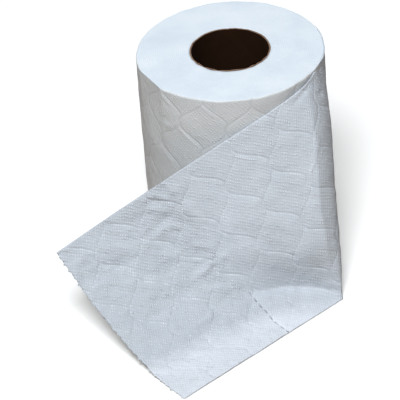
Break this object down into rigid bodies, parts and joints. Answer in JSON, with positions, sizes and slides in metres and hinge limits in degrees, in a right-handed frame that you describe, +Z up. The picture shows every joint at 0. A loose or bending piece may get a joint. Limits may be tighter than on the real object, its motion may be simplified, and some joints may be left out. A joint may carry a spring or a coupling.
{
  "type": "toilet paper roll",
  "caption": "Toilet tissue wound on a cardboard tube, standing on its end, with the loose end pulled off, leaning in front and torn at a perforation.",
  "frame": {"origin": "on the axis of the core, in the plane of the base", "axes": "+Z up along the core; the loose end comes off the +X side and lies in front, towards -Y"},
  "size_m": [0.1478, 0.206, 0.106],
  "materials": {
    "core_tube": "matt, spiral wound",
    "tissue": "soft, embossed"
  },
  "bodies": {
    "root": {"core_tube": "core_tube", "tissue": "tissue"}
  },
  "joints": []
}
